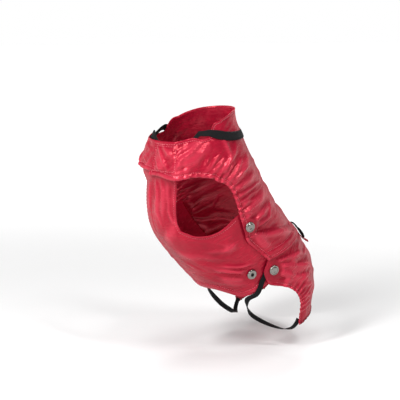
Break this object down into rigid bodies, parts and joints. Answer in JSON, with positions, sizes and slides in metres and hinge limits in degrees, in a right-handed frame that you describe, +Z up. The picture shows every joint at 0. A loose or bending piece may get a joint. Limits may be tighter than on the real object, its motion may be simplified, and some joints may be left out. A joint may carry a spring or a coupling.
{
  "type": "dog coat",
  "caption": "Padded dog coat with a lapped neck collar, a belly panel, a rump panel with a tail notch, elastic leg straps, snaps and a waist drawcord.",
  "frame": {"origin": "middle of the chest's hollow, where the wearer holds the coat up, level with the armholes", "axes": "+Z up, -Y towards the chest (the front of the coat), +X towards the coat's left side"},
  "size_m": [0.1527, 0.2416, 0.3007],
  "materials": {
    "red_cloth": "glossy coated nylon over thin padding",
    "black_elastic": "matt woven elastic",
    "snap_metal": "nickel plate"
  },
  "bodies": {
    "root": {"back_panel": "red_cloth", "belly_panel": "red_cloth", "rump_panel": "red_cloth", "pull_tab": "red_cloth", "neck_band": "black_elastic", "leg_strap_left": "black_elastic", "leg_strap_right": "black_elastic", "drawcord": "black_elastic", "snap_side_left": "snap_metal", "snap_side_right": "snap_metal", "snap_rear_left": "snap_metal", "snap_rear_right": "snap_metal", "snap_socket_left": "snap_metal", "snap_socket_right": "snap_metal"}
  },
  "joints": []
}
